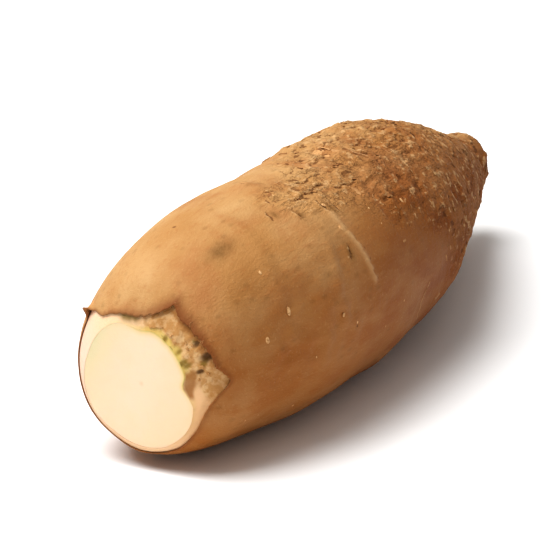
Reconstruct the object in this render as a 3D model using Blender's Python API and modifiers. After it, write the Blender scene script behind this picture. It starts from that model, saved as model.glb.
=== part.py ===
# A cassava root, cut square at its thick end and trimmed at its neck, lying on a table.
# It is one grown body, so it is one solid. Its skin is torn back round the cut.
# Lengths are metres. The root lies along X with the cut at -X, and rests on Z = 0.

import math
import random

import bmesh
import bpy
from mathutils import Vector, noise

# Driving sizes
root_length = 0.230
belly_radius = 0.0341
skin_thickness = 0.0014
neck_cut_radius = 0.0097

# The root's outline: share of its length from the cut, then girth as a share of the belly's radius
girth_stations = (
    (0.000, 0.585),
    (0.028, 0.733),
    (0.074, 0.846),
    (0.187, 0.972),
    (0.326, 0.994),
    (0.467, 0.961),
    (0.609, 0.895),
    (0.748, 0.735),
    (0.861, 0.505),
    (0.935, 0.362),
    (1.000, 0.285),
)
# The line of its heart: share of its length, sideways bend, and how far the underside is off the table
bend_stations = (
    (0.000, 0.0006, 0.0063),
    (0.028, 0.0001, 0.0041),
    (0.074, -0.0006, 0.0024),
    (0.187, -0.0016, 0.0001),
    (0.326, -0.0031, 0.0000),
    (0.467, -0.0008, 0.0000),
    (0.609, 0.0039, 0.0006),
    (0.748, 0.0098, 0.0038),
    (0.861, 0.0132, 0.0088),
    (0.935, 0.0160, 0.0122),
    (1.000, 0.0185, 0.0150),
)
# How far the skin is torn back from the cut, by degrees round from the top, positive to the +Y side
tear_stations = (
    (-180, 0.0010),
    (-150, 0.0020),
    (-131, 0.0010),
    (-114, 0.0006),
    (-88, 0.0006),
    (-76, 0.0010),
    (-66, 0.0024),
    (-54, 0.0018),
    (-30, 0.0018),
    (-22, 0.0029),
    (-14, 0.0012),
    (-6, 0.0006),
    (22, 0.0006),
    (36, 0.0016),
    (46, 0.0020),
    (55, 0.0005),
    (120, 0.0005),
    (180, 0.0010),
)
# Where the cut's edge is knocked in: degrees round, spread in degrees, depth
edge_dents = ((4, 16, 0.0022), (-87, 10, 0.0016))

# The cut end
flesh_radius = 0.0184
dent_reach = 0.008
torn_shoulder = 0.0036
tear_line = 0.0030
tear_reach = 0.030
curl_height = 0.0004
# The neck end
neck_tear = 0.0032
neck_ragged = 0.0012
neck_flesh_share = 0.80
neck_reach = 0.012

# Unevenness of the grown shape
oval_share = 0.025
oval_turn = math.radians(-38)
lump_share = 0.045
lump_length = 0.055
dent_height = 0.0009
dent_length = 0.017

# Raised marks on the skin: scars of feeder roots, and creases that run part of the way round
seed = 11
scar_count = 16
scar_radius = 0.0036
scar_height = 0.0013
crease_count = 15
crease_width = 0.0028
crease_height = 0.0009
crease_half_turn = math.radians(48)

# The flat spot under the belly that the root rests on, and how far round the marks fade out near it
rest_trim = 0.0010
rest_half_turn = math.radians(30)

# Fineness of the turned blank
sides = 76
body_rings = 46

colours = {
    "bark": ((0.455, 0.250, 0.112, 1.0), 0.78),
    "rind": ((0.800, 0.520, 0.330, 1.0), 0.62),
    "flesh": ((0.930, 0.830, 0.610, 1.0), 0.48),
}


def through(stations, at, column=1):
    """A smooth curve through the stations' points, read at one place."""
    places = [station[0] for station in stations]
    values = [station[column] for station in stations]
    last = len(places) - 1
    index = min(max(sum(place <= at for place in places) - 1, 0), last - 1)

    def slope(point):
        before, after = max(point - 1, 0), min(point + 1, last)
        return (values[after] - values[before]) / (places[after] - places[before])

    span = places[index + 1] - places[index]
    part = (at - places[index]) / span
    squared, cubed = part**2, part**3
    return (
        (2 * cubed - 3 * squared + 1) * values[index]
        + (cubed - 2 * squared + part) * span * slope(index)
        + (3 * squared - 2 * cubed) * values[index + 1]
        + (cubed - squared) * span * slope(index + 1)
    )


def straight_through(stations, at):
    """Straight runs between the stations' points, as torn skin has."""
    for (start, low), (end, high) in zip(stations, stations[1:]):
        if start <= at <= end:
            return low + (high - low) * (at - start) / (end - start)
    return stations[-1][1]


def girth(along):
    """Radius of the skin at a distance from the cut, before it is made uneven."""
    return belly_radius * through(girth_stations, along / root_length)


def heart(along):
    """Sideways place and height of the root's middle line, with its underside on the table."""
    share = along / root_length
    bend = through(bend_stations, share, 1)
    lift = through(bend_stations, share, 2)
    return bend, girth(along) * swell(along, math.pi) + lift


def swell(along, angle):
    """How much wider or narrower the root has grown at one place, as a factor."""
    oval = oval_share * math.cos(2 * (angle - oval_turn))
    place = Vector((along / lump_length, 0.9 * math.cos(angle), 0.9 * math.sin(angle)))
    return 1 + oval + lump_share * noise.noise(place)


def mound(distance):
    """A soft bump, 1 at its middle and almost gone at a distance of 2."""
    return math.exp(-(distance**2))


def scattered_scars():
    rng = random.Random(seed)
    return [
        (
            rng.uniform(0.10, 0.86) * root_length,
            rng.uniform(-math.pi, math.pi),
            rng.uniform(0.5, 1.0) * scar_height,
        )
        for _ in range(scar_count)
    ]


def scattered_creases():
    rng = random.Random(seed + 1)
    return [
        (
            rng.uniform(0.12, 0.90) * root_length,
            rng.uniform(-math.pi, math.pi),
            rng.uniform(0.4, 1.0) * crease_height,
            rng.uniform(0.5, 1.0) * crease_half_turn,
        )
        for _ in range(crease_count)
    ]


scars = scattered_scars()
creases = scattered_creases()


def turn_between(angle, other):
    """The angle from one direction to another, the short way round."""
    return (angle - other + math.pi) % math.tau - math.pi


def skin_relief(along, angle):
    """Height of dents, scars and creases on the skin at one place."""
    radius = girth(along)
    place = Vector((along, radius * math.cos(angle), radius * math.sin(angle)))
    height = dent_height * noise.noise(place / dent_length)
    for middle, turn, top in scars:
        across = radius * turn_between(angle, turn)
        height += top * mound(math.hypot(along - middle, across) / scar_radius)
    for middle, turn, top, half_turn in creases:
        round_share = turn_between(angle, turn) / half_turn
        drift = 0.004 * math.sin(2.3 * round_share + turn)
        away = (along - middle - drift) / crease_width
        height += top * mound(round_share) * (mound(away) - 0.5 * mound(away - 1.6))
    return height * (1 - mound(turn_between(angle, math.pi) / rest_half_turn))


def torn_share(angle):
    """How badly the cut's edge is torn: 1 on the worst side, 0 where the knife left it whole."""
    return mound(turn_between(angle, math.radians(-42)) / math.radians(50))


def edge_dent(along, angle):
    """How far the cut's edge is knocked in at one place."""
    fade = max(0.0, 1 - along / dent_reach) ** 2
    return fade * sum(
        depth * mound(turn_between(angle, math.radians(middle)) / math.radians(spread))
        for middle, spread, depth in edge_dents
    )


def cut_profile():
    """Outline of the cut end, from the middle of the flesh out over the rind to the torn skin."""
    face = [(0.0, share * flesh_radius) for share in (0.0, 0.4, 0.75, 1.0)]
    rind = [
        (share * tear_line, girth(share * tear_line) - skin_thickness)
        for share in (0.35, 0.90)
    ]
    lip = [(tear_line, girth(tear_line) - 0.3 * skin_thickness)]
    return face + rind + lip


def neck_profile():
    """Outline of the trimmed neck, from its torn skin in to the middle of its flesh."""
    start = root_length - neck_tear
    lip = [(start, girth(start) - 0.3 * skin_thickness)]
    rind = [(start + 0.1 * neck_tear, girth(start) - 0.8 * skin_thickness)]
    face_radius = neck_flesh_share * neck_cut_radius
    face = [(root_length, share * face_radius) for share in (1.0, 0.5, 0.0)]
    return lip + rind + face


def turned_blank():
    """The root as if turned on a lathe: upright, straight and even, with the cut on top."""
    first, last = tear_line + 0.0008, root_length - neck_tear - 0.0006
    steps = [first + (last - first) * n / (body_rings - 1) for n in range(body_rings)]
    outline = cut_profile() + [(along, girth(along)) for along in steps] + neck_profile()
    mesh = bpy.data.meshes.new("blank")
    points = [(radius, 0.0, -along) for along, radius in outline]
    mesh.from_pydata(points, [(n, n + 1) for n in range(len(points) - 1)], [])
    blank = bpy.data.objects.new("blank", mesh)
    bpy.context.scene.collection.objects.link(blank)
    screw = blank.modifiers.new("turn", "SCREW")
    screw.axis = "Z"
    screw.angle = math.tau
    screw.steps = screw.render_steps = sides
    screw.use_merge_vertices = True
    screw.merge_threshold = 0.00001
    graph = bpy.context.evaluated_depsgraph_get()
    turned = bpy.data.meshes.new_from_object(blank.evaluated_get(graph))
    bpy.data.objects.remove(blank)
    return turned


def torn_place(along, angle):
    """Where a ring of the blank goes once the skin is torn back from the cut and from the neck."""
    tear = straight_through(tear_stations, math.degrees(angle))
    if along <= tear_line:
        pull = along / tear_line
    else:
        pull = max(0.0, 1 - (along - tear_line) / tear_reach)
    moved = along + (tear - tear_line) * pull
    neck_start = root_length - neck_tear
    ragged = neck_ragged * noise.noise(Vector((3 * math.cos(angle), 3 * math.sin(angle), 5)))
    if along < root_length - 0.00001:
        moved += ragged * max(0.0, 1 - abs(along - neck_start) / neck_reach)
    return moved


def grown(point):
    """Bends, swells and tears one point of the blank into its place on the root."""
    along = -point.z
    angle = math.atan2(point.y, point.x)
    out = math.hypot(point.x, point.y)
    moved = torn_place(along, angle)
    shoulder = torn_shoulder * torn_share(angle)
    dent = edge_dent(moved, angle)
    if along < 0.00001:
        radius = out * (1 - (shoulder + dent) / flesh_radius)
    elif along > root_length - 0.00001:
        radius = out
    else:
        depth = girth(along) - out
        bared = max(0.0, 1 - along / tear_line)
        radius = girth(moved) - depth - shoulder * bared - dent
        curl = curl_height * torn_share(angle) * mound((along - tear_line) / 0.002)
        if depth < 0.5 * skin_thickness:
            radius += skin_relief(moved, angle) + curl
    radius *= swell(moved, angle)
    bend, height = heart(moved)
    return Vector((moved, bend + radius * math.sin(angle), height + radius * math.cos(angle)))


def material(name):
    colour, roughness = colours[name]
    made = bpy.data.materials.new(name)
    made.use_nodes = True
    shader = made.node_tree.nodes["Principled BSDF"]
    shader.inputs["Base Color"].default_value = colour
    shader.inputs["Roughness"].default_value = roughness
    shader.inputs["Metallic"].default_value = 0.0
    return made


def zone(along):
    """Which finish a face of the blank has, by its place along it."""
    if along < 0.00002 or along > root_length - 0.00002:
        return "flesh"
    if along < tear_line - 0.0001 or along > root_length - 0.9 * neck_tear:
        return "rind"
    return "bark"


def set_down(mesh):
    """Flattens the underside where it bears, and puts the origin on the table under the root's middle."""
    table = min(vertex.co.z for vertex in mesh.vertices) + rest_trim
    for vertex in mesh.vertices:
        vertex.co.z = max(vertex.co.z - table, 0.0)
    for axis in (0, 1):
        places = [vertex.co[axis] for vertex in mesh.vertices]
        middle = (min(places) + max(places)) / 2
        for vertex in mesh.vertices:
            vertex.co[axis] -= middle


def cassava_root():
    mesh = turned_blank()
    mesh.name = "cassava_root"
    names = list(colours)
    for name in names:
        mesh.materials.append(material(name))
    for face in mesh.polygons:
        face.material_index = names.index(zone(-face.center.z))
    for vertex in mesh.vertices:
        vertex.co = grown(vertex.co)
    set_down(mesh)
    shape = bmesh.new()
    shape.from_mesh(mesh)
    bmesh.ops.recalc_face_normals(shape, faces=shape.faces)
    shape.to_mesh(mesh)
    shape.free()
    mesh.shade_smooth()
    mesh.set_sharp_from_angle(angle=math.radians(50))
    return bpy.data.objects.new("cassava_root", mesh)


for leftover in list(bpy.data.objects):
    bpy.data.objects.remove(leftover)
parts = bpy.data.collections.new("cassava")
bpy.context.scene.collection.children.link(parts)
parts.objects.link(cassava_root())
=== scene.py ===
import math
import random

import bmesh
import bpy
import numpy as np
from mathutils import Matrix, Vector, noise


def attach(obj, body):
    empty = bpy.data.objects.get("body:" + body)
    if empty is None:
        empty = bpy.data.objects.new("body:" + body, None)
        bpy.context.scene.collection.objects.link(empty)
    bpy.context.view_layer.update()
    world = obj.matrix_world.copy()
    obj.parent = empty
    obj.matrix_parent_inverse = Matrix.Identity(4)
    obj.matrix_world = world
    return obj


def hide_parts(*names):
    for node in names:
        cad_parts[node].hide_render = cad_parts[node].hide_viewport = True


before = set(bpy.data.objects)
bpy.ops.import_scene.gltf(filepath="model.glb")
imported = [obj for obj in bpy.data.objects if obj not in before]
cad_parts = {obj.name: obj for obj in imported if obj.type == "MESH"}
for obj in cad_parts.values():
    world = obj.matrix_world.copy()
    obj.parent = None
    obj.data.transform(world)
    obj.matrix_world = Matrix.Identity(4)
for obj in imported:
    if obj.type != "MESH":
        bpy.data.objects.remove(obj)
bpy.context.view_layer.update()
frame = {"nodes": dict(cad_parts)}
print("frame loaded:", ", ".join(frame["nodes"]))

# The grown form, the same as the solid's. Metres, and degrees round from the top, positive to the +Y side.
root = {
    "length": 0.230,
    "belly": 0.0341,
    # share of the length from the cut, girth as a share of the belly's radius
    "girth": (
        (0.000, 0.585), (0.028, 0.733), (0.074, 0.846), (0.187, 0.972), (0.326, 0.994),
        (0.467, 0.961), (0.609, 0.895), (0.748, 0.735), (0.861, 0.505), (0.935, 0.362),
        (1.000, 0.285),
    ),
    # share of the length, sideways bend, how far the underside is off the table
    "bend": (
        (0.000, 0.0006, 0.0063), (0.028, 0.0001, 0.0041), (0.074, -0.0006, 0.0024),
        (0.187, -0.0016, 0.0001), (0.326, -0.0031, 0.0000), (0.467, -0.0008, 0.0000),
        (0.609, 0.0039, 0.0006), (0.748, 0.0098, 0.0038), (0.861, 0.0132, 0.0088),
        (0.935, 0.0160, 0.0122), (1.000, 0.0185, 0.0150),
    ),
    # from the unbent form's place to the solid's: along, sideways, down to the table
    "offset": (-0.115, 0.00071, -0.00088),
    "ovalShare": 0.025,
    "ovalTurn": -38,
    "lumpShare": 0.045,
    "lumpLength": 0.055,
    "dentHeight": 0.0009,
    "dentLength": 0.017,
    "markSeed": 11,
    "scarCount": 16,
    "scarRadius": 0.0036,
    "scarHeight": 0.0013,
    "creaseCount": 15,
    "creaseWidth": 0.0028,
    "creaseHeight": 0.0006,
    "creaseHalfTurn": 48,
    "restHalfTurn": 30,
}

# Where the bark is torn back from the cut, by degrees round, and how it frays at the neck
tear = {
    "stations": (
        (-180, 0.0010), (-150, 0.0020), (-131, 0.0010), (-114, 0.0006), (-107, 0.0009), (-101, 0.0017),
        (-96, 0.0034), (-92, 0.0053), (-88, 0.0061), (-83, 0.0049), (-77, 0.0036), (-70, 0.0024),
        (-66, 0.0024), (-54, 0.0018), (-30, 0.0018), (-22, 0.0029), (-14, 0.0012), (-6, 0.0008),
        (22, 0.0009), (35, 0.0014), (40, 0.0018), (45, 0.0031), (50, 0.0046), (57, 0.0056),
        (62, 0.0066), (80, 0.0054), (110, 0.0030), (140, 0.0014), (180, 0.0010),
    ),
    # where the cut's edge is knocked in: degrees round, spread in degrees, depth
    "dents": ((4, 16, 0.0022), (-87, 10, 0.0016)),
    "dentReach": 0.008,
    "line": 0.0030,
    "reach": 0.030,
    "worst": -42,
    "spread": 50,
    "jag": 0.0005,
    "neck": 0.0032,
    "neckRagged": 0.0012,
    "neckReach": 0.012,
}


def curveThrough(stations, at, column=1):
    rows = np.array(stations)
    places, values = rows[:, 0], rows[:, column]
    last = len(places) - 1
    order = np.arange(last + 1)
    before, after = np.maximum(order - 1, 0), np.minimum(order + 1, last)
    slopes = (values[after] - values[before]) / (places[after] - places[before])
    index = np.clip(np.searchsorted(places, at, side="right") - 1, 0, last - 1)
    span = places[index + 1] - places[index]
    part = (at - places[index]) / span
    squared, cubed = part**2, part**3
    return (
        (2 * cubed - 3 * squared + 1) * values[index]
        + (cubed - 2 * squared + part) * span * slopes[index]
        + (3 * squared - 2 * cubed) * values[index + 1]
        + (cubed - squared) * span * slopes[index + 1]
    )


def byAngle(stations, angle):
    rows = np.array(stations)
    return np.interp(np.degrees(angle), rows[:, 0], rows[:, 1])


def mound(distance):
    return np.exp(-(distance**2))


def ease(low, high, value):
    part = np.clip((value - low) / (high - low), 0, 1)
    return part * part * (3 - 2 * part)


def within(low, high, soft, value):
    return ease(low - soft, low + soft, value) * (1 - ease(high - soft, high + soft, value))


def turnBetween(angle, other):
    return (angle - other + math.pi) % math.tau - math.pi


def hump(angle, middle, spread):
    # 1 at a place round the root and fading on both sides of it, in degrees
    return mound(turnBetween(angle, math.radians(middle)) / math.radians(spread))


def noiseAt(x, y, z):
    # one smooth noise value for each point, about -1 to 1
    points = zip(np.ravel(x).tolist(), np.ravel(y).tolist(), np.ravel(z).tolist())
    return np.array([noise.noise(point) for point in points])


def ringNoise(angle, size, shift):
    return noiseAt(size * np.cos(angle), size * np.sin(angle), 0 * angle + shift)


def girthAt(along):
    return root["belly"] * curveThrough(root["girth"], along / root["length"])


def swellAt(along, angle):
    oval = root["ovalShare"] * np.cos(2 * (angle - math.radians(root["ovalTurn"])))
    lump = noiseAt(along / root["lumpLength"], 0.9 * np.cos(angle), 0.9 * np.sin(angle))
    return 1 + oval + root["lumpShare"] * lump


def skinNoise(along, angle, alongSize, aroundSize, shift=0.0):
    # noise on the unbent skin, drawn out along the root or round it
    radius = girthAt(along) / aroundSize
    return noiseAt(along / alongSize + shift, radius * np.cos(angle), radius * np.sin(angle) + shift)


def scatteredMarks(count, seed, ends, *shares):
    # each mark's place along, its turn, and a share drawn from each pair
    rng = random.Random(root["markSeed"] + seed)
    return [
        (
            rng.uniform(*ends) * root["length"],
            rng.uniform(-math.pi, math.pi),
            *[rng.uniform(*pair) for pair in shares],
        )
        for _ in range(count)
    ]


scars = scatteredMarks(root["scarCount"], 0, (0.10, 0.86), (0.5, 1.0))
creases = scatteredMarks(root["creaseCount"], 1, (0.12, 0.90), (0.4, 1.0), (0.5, 1.0))


def grownRelief(along, angle):
    # dents, feeder scars and creases, as the solid has them
    radius = girthAt(along)
    height = root["dentHeight"] * skinNoise(along, angle, root["dentLength"], root["dentLength"])
    for middle, turn, top in scars:
        across = radius * turnBetween(angle, turn)
        height += top * root["scarHeight"] * mound(np.hypot(along - middle, across) / root["scarRadius"])
    for middle, turn, top, reach in creases:
        roundShare = turnBetween(angle, turn) / (reach * math.radians(root["creaseHalfTurn"]))
        drift = 0.004 * np.sin(2.3 * roundShare + turn)
        away = (along - middle - drift) / root["creaseWidth"]
        top *= root["creaseHeight"]
        height += top * mound(roundShare) * (mound(away) - 0.5 * mound(away - 1.6))
    return height * (1 - hump(angle, 180, root["restHalfTurn"]))


def layOut(along, angle, height):
    # from a place on the unbent root to its place in the grown one
    share = along / root["length"]
    sideways = curveThrough(root["bend"], share, 1)
    lift = curveThrough(root["bend"], share, 2)
    middle = girthAt(along) * swellAt(along, np.full_like(along, math.pi)) + lift
    radius = (girthAt(along) + height) * swellAt(along, angle)
    points = np.stack([along, sideways + radius * np.sin(angle), middle + radius * np.cos(angle)], 1)
    return points + np.array(root["offset"])


def edgeDent(along, angle):
    fade = np.clip(1 - along / tear["dentReach"], 0, 1) ** 2
    return fade * sum(depth * hump(angle, middle, spread) for middle, spread, depth in tear["dents"])


def tearShare(angle):
    return hump(angle, tear["worst"], tear["spread"])


def tearEdge(angle):
    # how far back the bark starts, with the ragged edge of torn skin
    jags = ringNoise(angle, 15, 3) + 0.6 * ringNoise(angle, 42, 8)
    share = 0.12 + 0.88 * tearShare(angle)
    return np.maximum(byAngle(tear["stations"], angle) + tear["jag"] * share * jags, 0.00025)


# The bark: a thin shell, smooth at the front and rough towards the neck
bark = {
    "sides": 246,
    "crowding": 0.34,              # how much closer the sides are on top than underneath
    "thickness": 0.0008,
    "lipShare": 0.45,              # thickness of the cut edge, as a share of that
    # degrees round, where along the root its rough bark starts
    "roughStart": (
        (-180, 0.120), (-105, 0.118), (-78, 0.108), (-62, 0.094), (-50, 0.078), (-40, 0.062),
        (-30, 0.046), (-12, 0.044), (0, 0.060), (20, 0.082), (60, 0.088), (120, 0.100),
        (180, 0.120),
    ),
    # degrees round, how far the lip of the tear curls out
    "curl": (
        (-180, 0.0000), (-100, 0.0000), (-84, 0.0003), (-66, 0.0009), (-50, 0.0004),
        (-30, 0.0003), (-22, 0.0006), (-8, 0.0002), (28, 0.0000), (180, 0.0000),
    ),
    "curlReach": 0.006,
    # a splinter of bark that stands off the cut's edge: degrees round, spread in degrees, height
    "nib": (58, 4.0, 0.0026),
    # degrees round, how dark the bark is along its cut edge: the torn edge's own reddish brown, with
    # painted shadow under the curled lip
    "edgeTone": (
        (-180, 0.60), (-135, 0.55), (-112, 0.25), (-98, 0.5), (-84, 0.5), (-72, 0.6), (-62, 0.8),
        (-20, 0.85), (0, 0.55), (40, 0.50), (60, 0.75), (120, 0.75), (180, 0.60),
    ),
    # degrees round, how wide that dark edge is
    "edgeWidth": (
        (-180, 0.0005), (-95, 0.0008), (-60, 0.0011), (-36, 0.0015), (-14, 0.0019), (0, 0.0008),
        (20, 0.0005), (180, 0.0005),
    ),
    # an uneven, lumpy place low on the side: degrees round, spread in degrees, height
    "lumpy": (-84, 24, 0.00070),
    # heights of the fine relief, on the smooth bark and added on the rough bark
    "smoothHeights": {"wrinkles": 0.00005, "streaks": 0.00005, "broken": 0.00002},
    "roughHeights": {"steps": 0.00034, "ridges": 0.00014, "broken": 0.00042, "wrinkles": 0.00016},
    "scarPit": 0.0005,
    "tickSeed": 23,
    "tickCount": 300,
    "tickLength": (0.0018, 0.0060),
    "tickDepth": 0.00042,
    # cracks seen in the photo: along, degrees round, length, heading in degrees, strength
    "cracks": (
        (0.0645, -21.5, 0.0190, 6, 1.0), (0.0548, -11, 0.0034, 0, 0.8), (0.0706, -13, 0.0052, -8, 0.9),
        (0.1135, -9.5, 0.0140, 8, 1.0), (0.1080, 2, 0.0150, 4, 0.9), (0.0440, -23, 0.0030, 84, 0.9),
        (0.0636, -32, 0.0042, 95, 1.0), (0.0680, -34, 0.0044, 80, 0.9), (0.0600, -58, 0.0030, 80, 0.9),
        (0.0900, -4, 0.0110, 5, 0.8), (0.0820, -27, 0.0120, -6, 0.9), (0.0960, -42, 0.0100, 10, 0.7),
        (0.1290, -20, 0.0120, 4, 0.9), (0.1440, -2, 0.0150, -5, 0.9), (0.1010, 16, 0.0090, 2, 0.8),
        (0.0760, -2, 0.0080, 12, 0.7), (0.0490, -17, 0.0024, 100, 0.7), (0.0520, -29, 0.0032, 88, 0.8),
    ),
    # the pale raised line across the shoulder: degrees round and place along, then its height
    "weal": (
        (-79, 0.0674), (-73, 0.0676), (-66, 0.0664), (-57, 0.0652), (-51, 0.0640), (-44, 0.0630),
        (-35, 0.0632),
    ),
    "wealTop": 0.00050,
    "wealWidth": 0.00125,
    # dull smudges, the big one near the front: along, degrees round, half length, half width
    "smudges": (
        (0.0210, -22, 0.0052, 0.0026), (0.0600, -58, 0.0013, 0.0025), (0.0520, -31, 0.0011, 0.0018),
        (0.0455, -24, 0.0010, 0.0012), (0.0655, -35.5, 0.0011, 0.0019),
    ),
    # reddish patches, the first beside the tear: along, degrees round, half length, half width
    "ruddy": (
        (0.0065, -34, 0.0036, 0.0036), (0.084, 3, 0.0045, 0.0045), (0.0996, 0, 0.0040, 0.0040),
        (0.115, -6, 0.0040, 0.0040), (0.091, -38, 0.0070, 0.0070), (0.108, -30, 0.0080, 0.0080),
    ),
    # degrees round, share of painted shade that darkens the bark on the side it lies on and on the -Y side;
    # it reaches higher up towards the neck
    "soiled": ((-180, 0.9), (-85, 0.9), (-66, 0.6), (-42, 0.22), (-20, 0), (90, 0), (140, 0.9), (180, 0.9)),
    "shadeRise": 26,
}

# Blank rings in the unbent skin: from, to, and the gap between rings
barkRows = (
    (0.0030, 0.0085, 0.00034), (0.0085, 0.042, 0.00070), (0.042, 0.150, 0.00054), (0.150, 0.2268, 0.00084),
)


def turnedPiece(name, corners, sides, sharpAngle=None):
    # spins a chain of corners round X: each corner is along, radius, and the cuts up to the next
    shape = bmesh.new()
    for along, radius, _ in corners:
        shape.verts.new((along, 0, radius))
    for index, (_, _, cuts) in enumerate(corners[:-1]):
        shape.verts.ensure_lookup_table()
        edge = shape.edges.new((shape.verts[index], shape.verts[index + 1]))
        if cuts:
            bmesh.ops.subdivide_edges(shape, edges=[edge], cuts=cuts)
    bmesh.ops.spin(shape, geom=shape.verts[:] + shape.edges[:], axis=(1, 0, 0), cent=(0, 0, 0),
                   steps=sides, angle=math.tau, use_merge=True)
    bmesh.ops.remove_doubles(shape, verts=shape.verts, dist=1e-7)
    bmesh.ops.recalc_face_normals(shape, faces=shape.faces)
    piece = finished(name, shape, sharpAngle)
    values = np.empty(len(piece.data.vertices) * 3)
    piece.data.vertices.foreach_get("co", values)
    x, y, z = values.reshape(-1, 3).T
    return piece, x, np.arctan2(y, z), np.hypot(y, z)


def finished(name, shape, sharpAngle=None):
    mesh = bpy.data.meshes.new(name)
    shape.to_mesh(mesh)
    shape.free()
    mesh.shade_smooth()
    if sharpAngle:
        mesh.set_sharp_from_angle(angle=math.radians(sharpAngle))
    piece = bpy.data.objects.new(name, mesh)
    bpy.context.scene.collection.objects.link(piece)
    return piece


def movePoints(piece, points):
    piece.data.vertices.foreach_set("co", np.ascontiguousarray(points).ravel())
    piece.data.update()


def addMasks(piece, **masks):
    for name, values in masks.items():
        mask = piece.data.attributes.new(name, "FLOAT", "POINT")
        mask.data.foreach_set("value", np.asarray(values, dtype=np.float32))


def neckRagged(angle):
    return tear["neckRagged"] * ringNoise(angle, 3, 5)


def roughAt(along, angle):
    along, angle = np.atleast_1d(along), np.atleast_1d(angle)
    patch = skinNoise(along, angle, 0.022, 0.016, 4.2)
    return ease(-0.006, 0.026, along - byAngle(bark["roughStart"], angle) + 0.012 * patch)


def scatteredTicks():
    # short cracks and lifted edges in the rough bark: most run along the root, some across
    rng = random.Random(bark["tickSeed"])
    ticks = [
        (along, math.radians(degrees), math.radians(heading), length, strength)
        for along, degrees, length, heading, strength in bark["cracks"]
    ]
    while len(ticks) < bark["tickCount"]:
        along, angle = rng.uniform(0.060, 0.222), rng.uniform(-math.pi, math.pi)
        if rng.random() > roughAt(along, angle)[0]:
            continue
        heading = rng.gauss(0, 0.25) + (0 if rng.random() < 0.75 else math.pi / 2)
        ticks.append((along, angle, heading, rng.uniform(*bark["tickLength"]), rng.uniform(0.35, 0.85)))
    return ticks


ticks = scatteredTicks()


def fineRelief(along, angle):
    # height of the fine bark, with masks for what is dark and what is pale: the dark mask holds cracks and
    # pits with painted shade in the hollows, the pale mask painted highlight on raised places and the
    # weal's own pale
    rough = roughAt(along, angle)
    wrinkles = skinNoise(along, angle, 0.0016, 0.0090, 1.0)
    streaks = skinNoise(along, angle, 0.0110, 0.0018, 2.0)
    scaly = skinNoise(along, angle, 0.0056, 0.0034, 7.0)
    broken = skinNoise(along, angle, 0.0030, 0.0019, 9.0)
    ridges = 1 - 2.6 * np.abs(scaly)
    forms = {
        "wrinkles": wrinkles, "streaks": streaks, "broken": broken, "ridges": ridges,
        "steps": np.round(2.5 * scaly) / 2.5,
    }
    height = sum(top * forms[name] for name, top in bark["smoothHeights"].items())
    height = height + rough * sum(top * forms[name] for name, top in bark["roughHeights"].items())
    # painted shade in the rough relief's low places, painted highlight on its high places
    dark = 0.8 * rough * ease(0.15, 0.60, -broken - 0.4 * ridges)
    pale = rough * ease(0.20, 0.70, broken + 0.3 * ridges) * 0.6
    radius = girthAt(along)
    for middle, turn, heading, length, strength in ticks:
        near = np.flatnonzero(np.abs(along - middle) < 0.7 * length + 0.002)
        forward = along[near] - middle
        across = radius[near] * turnBetween(angle[near], turn)
        lengthwise = forward * math.cos(heading) + across * math.sin(heading)
        offline = across * math.cos(heading) - forward * math.sin(heading)
        wavy = offline - 0.00045 * np.sin(lengthwise * 900 + turn * 9) - 0.00025 * np.sin(lengthwise * 2600)
        past = np.maximum(np.abs(lengthwise) - 0.5 * length, 0) / 0.0006
        groove = strength * mound(wavy / 0.00040) * mound(past)
        lip = strength * mound((wavy - 0.0009) / 0.0005) * mound(past)
        height[near] += bark["tickDepth"] * (0.8 * lip - groove)
        # the groove is dark, and the raised lip gets painted highlight
        dark[near] = np.maximum(dark[near], groove)
        pale[near] = np.maximum(pale[near], 0.6 * lip)
    degrees, place = np.degrees(angle), byAngle(bark["weal"], angle)
    present = ease(-78.5, -74, degrees) * (1 - ease(-38, -34, degrees)) * ease(-0.45, 0.0, broken + 0.15)
    weal = present * mound((along - place - 0.0003 * wrinkles) / bark["wealWidth"])
    height += bark["wealTop"] * weal
    middle, spread, top = bark["lumpy"]
    uneven = hump(angle, middle, spread) * ease(0.010, 0.020, along) * (1 - ease(0.045, 0.062, along))
    height += top * uneven * skinNoise(along, angle, 0.0048, 0.0030, 12.0)
    pale = np.maximum(pale * (1 - weal), 0.22 * weal)
    # painted shadow in a band just behind the raised weal
    dark = np.maximum(dark * (1 - weal), 0.35 * present * mound((along - place - 0.0018) / 0.0007))
    for middle, turn, _ in scars:
        distance = np.hypot(along - middle, radius * turnBetween(angle, turn))
        pit = mound(distance / 0.0008) * ease(-0.4, 0.4, wrinkles + streaks + 0.3)
        height -= bark["scarPit"] * pit
        # painted shade in the scar pit
        dark = np.maximum(dark, 0.7 * pit)
    return height, rough, dark, pale, weal


def barkCorners():
    # the shell's section: out along the skin, over the torn neck edge, back inside, round the torn lip
    skin, wall = root["belly"], bark["thickness"]
    return [(start, skin, round((end - start) / gap) - 1) for start, end, gap in barkRows] + [
        (0.2268, skin, 0), (0.2271, skin - 0.3 * wall, 0), (0.2271, skin - 0.8 * wall, 0),
        (0.2266, skin - wall, 26), (0.0034, skin - wall, 0),
        (0.0028, skin - 0.8 * wall, 0), (0.0027, skin - 0.3 * wall, 0), (0.0030, skin, 0),
    ]


# painted shade: how much the bark is darkened at each place, reaching higher up the -Y side towards the
# neck
def paintedShadeAt(along, angle):
    higher = math.radians(bark["shadeRise"]) * ease(0.045, 0.105, along) * np.cos(angle / 2)
    return byAngle(bark["soiled"], np.maximum(angle - higher, -math.pi))


def spotted(along, angle, spots):
    # soft spots on the skin: along, degrees round, half length, half width
    mask = np.zeros_like(along)
    for place, turn, halfLength, halfWidth in spots:
        across = girthAt(along) * turnBetween(angle, math.radians(turn))
        mask = np.maximum(mask, mound(np.hypot((along - place) / halfLength, across / halfWidth)))
    return mask


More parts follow.
